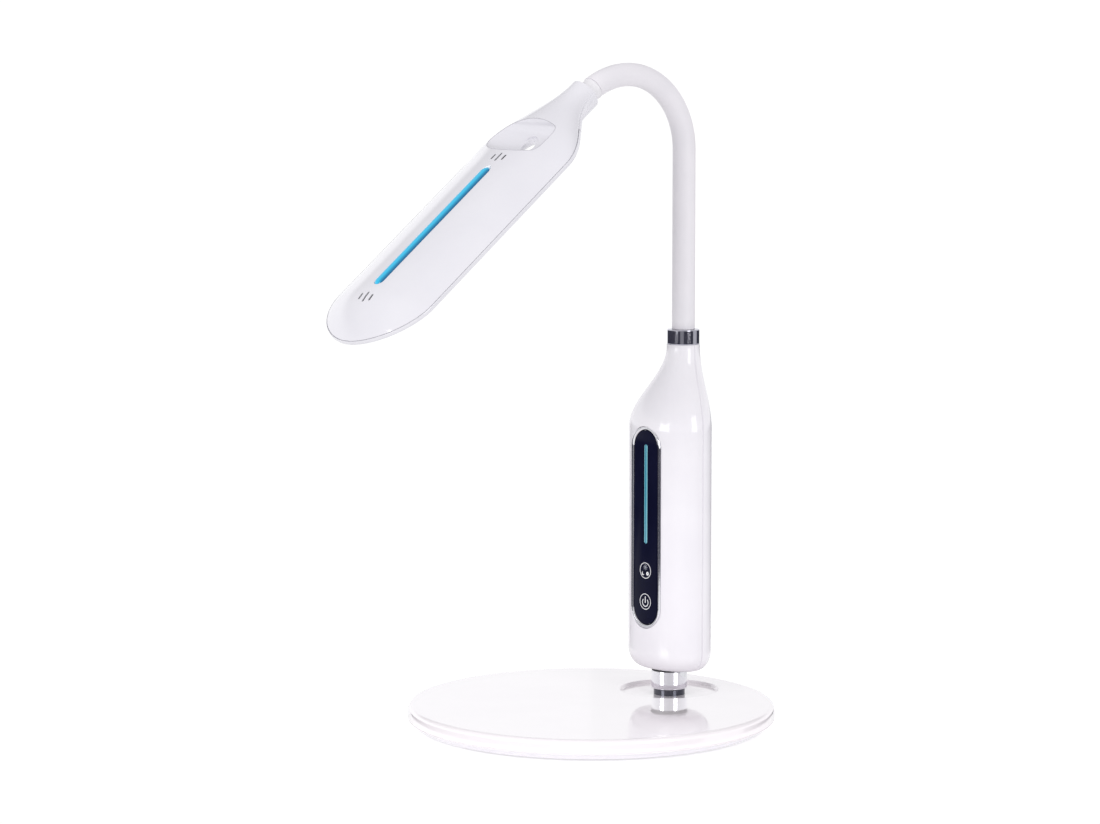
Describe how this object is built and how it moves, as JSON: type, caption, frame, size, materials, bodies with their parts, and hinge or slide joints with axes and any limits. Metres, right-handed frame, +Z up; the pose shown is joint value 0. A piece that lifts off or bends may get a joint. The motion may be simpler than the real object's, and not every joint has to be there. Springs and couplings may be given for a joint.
{
  "type": "desk lamp",
  "caption": "Touch-control desk lamp: round weighted base, bottle-shaped column on a swivelling stem, gooseneck of coupled links and a long arched LED head.",
  "frame": {"origin": "centre of the base underside, on the table", "axes": "+Z up, front of the lamp towards -Y, symmetric about X = 0"},
  "size_m": [0.2, 0.2675, 0.3585],
  "materials": {
    "white_gloss": "high gloss moulded",
    "white_sleeve": "satin sleeve",
    "chrome_trim": "bright plated",
    "steel": "plain zinc plated",
    "ballast": "raw steel plate",
    "black_panel": "gloss printed panel",
    "blue_light": "translucent tinted",
    "opal": "opal diffuser",
    "pad": "foam rubber",
    "board": "circuit board",
    "parts": "moulded components",
    "bush": "low friction moulding",
    "led_plate": "white coated aluminium board",
    "led": "LED package",
    "inlet": "black moulding"
  },
  "bodies": {
    "base": {"base_shell": "white_gloss", "base_ballast": "ballast", "base_cover": "white_sleeve", "base_pad": "pad", "base_screws": "steel", "stem_tube": "chrome_trim", "stem_washer": "steel", "stem_nut": "steel", "stem_clip": "steel"},
    "column": {"stem_collar": "chrome_trim", "swivel_bush": "bush", "front_shell": "white_gloss", "rear_shell": "white_gloss", "shell_screws": "steel", "panel_bezel": "chrome_trim", "touch_panel": "black_panel", "slider_bar": "blue_light", "control_board": "board", "board_parts": "parts", "board_screws": "steel", "inlet_socket": "inlet", "inlet_pin": "chrome_trim", "neck_root": "white_sleeve", "neck_clip": "steel", "neck_ring": "chrome_trim"},
    "link_1": {"neck_link_1": "white_sleeve"},
    "link_2": {"neck_link_2": "white_sleeve"},
    "link_3": {"neck_link_3": "white_sleeve"},
    "link_4": {"neck_link_4": "white_sleeve"},
    "link_5": {"neck_link_5": "white_sleeve"},
    "link_6": {"neck_link_6": "white_sleeve"},
    "link_7": {"neck_link_7": "white_sleeve"},
    "link_8": {"neck_link_8": "white_sleeve"},
    "link_9": {"neck_link_9": "white_sleeve"},
    "link_10": {"neck_link_10": "white_sleeve"},
    "link_11": {"neck_link_11": "white_sleeve"},
    "head": {"neck_end_tube": "white_sleeve", "head_cover": "white_gloss", "head_saddle": "white_gloss", "head_frame": "white_gloss", "diffuser": "opal", "led_board": "led_plate", "leds": "led", "accent_strip": "blue_light", "head_screws": "steel"}
  },
  "joints": [
    {"name": "column_swivel", "type": "hinge", "parent": "base", "child": "column", "pos_m": [0, 0.058, 0.0254], "axis": [0, 0, 1], "range_deg": [-90, 90]},
    {"name": "neck_lean_1", "type": "hinge", "parent": "column", "child": "link_1", "pos_m": [0, 0.0675, 0.2218], "axis": [1, 0, 0], "range_deg": [-15, 15]},
    {"name": "neck_side_1", "type": "hinge", "parent": "link_1", "child": "link_2", "pos_m": [0, 0.0675, 0.23786], "axis": [0, 1, 0], "range_deg": [-15, 15]},
    {"name": "neck_lean_2", "type": "hinge", "parent": "link_2", "child": "link_3", "pos_m": [0, 0.0675, 0.25392], "axis": [1, 0, 0], "range_deg": [-15, 15]},
    {"name": "neck_side_2", "type": "hinge", "parent": "link_3", "child": "link_4", "pos_m": [0, 0.0675, 0.26997], "axis": [0, 1, 0], "range_deg": [-15, 15]},
    {"name": "neck_lean_3", "type": "hinge", "parent": "link_4", "child": "link_5", "pos_m": [0, 0.0675, 0.28603], "axis": [1, 0, 0], "range_deg": [-15, 15]},
    {"name": "neck_side_3", "type": "hinge", "parent": "link_5", "child": "link_6", "pos_m": [0, 0.0675, 0.30209], "axis": [0, 1, 0], "range_deg": [-15, 15]},
    {"name": "neck_bend_1", "type": "hinge", "parent": "link_6", "child": "link_7", "pos_m": [0, 0.06686, 0.31811], "axis": [1, 0, 0], "range_deg": [-18.68, 3]},
    {"name": "neck_bend_2", "type": "hinge", "parent": "link_7", "child": "link_8", "pos_m": [0, 0.06115, 0.33301], "axis": [1, 0, 0], "range_deg": [-21.92, 3.53]},
    {"name": "neck_bend_3", "type": "hinge", "parent": "link_8", "child": "link_9", "pos_m": [0, 0.05029, 0.34471], "axis": [1, 0, 0], "range_deg": [-21.92, 3.53]},
    {"name": "neck_bend_4", "type": "hinge", "parent": "link_9", "child": "link_10", "pos_m": [0, 0.03585, 0.35151], "axis": [1, 0, 0], "range_deg": [-21.7, 3.49]},
    {"name": "neck_bend_5", "type": "hinge", "parent": "link_10", "child": "link_11", "pos_m": [0, 0.01991, 0.35249], "axis": [1, 0, 0], "range_deg": [-19.15, 3.08]},
    {"name": "neck_bend_6", "type": "hinge", "parent": "link_11", "child": "head", "pos_m": [0, 0.00451, 0.34818], "axis": [1, 0, 0], "range_deg": [-15.4, 2.48]}
  ],
  "couplings": [
    {"joint": "neck_lean_2", "follows": "neck_lean_1", "ratio": 1},
    {"joint": "neck_side_2", "follows": "neck_side_1", "ratio": 1},
    {"joint": "neck_lean_3", "follows": "neck_lean_1", "ratio": 1},
    {"joint": "neck_side_3", "follows": "neck_side_1", "ratio": 1},
    {"joint": "neck_bend_2", "follows": "neck_bend_1", "ratio": 1.1724},
    {"joint": "neck_bend_3", "follows": "neck_bend_1", "ratio": 1.1724},
    {"joint": "neck_bend_4", "follows": "neck_bend_1", "ratio": 1.161},
    {"joint": "neck_bend_5", "follows": "neck_bend_1", "ratio": 1.0245},
    {"joint": "neck_bend_6", "follows": "neck_bend_1", "ratio": 0.8236}
  ]
}
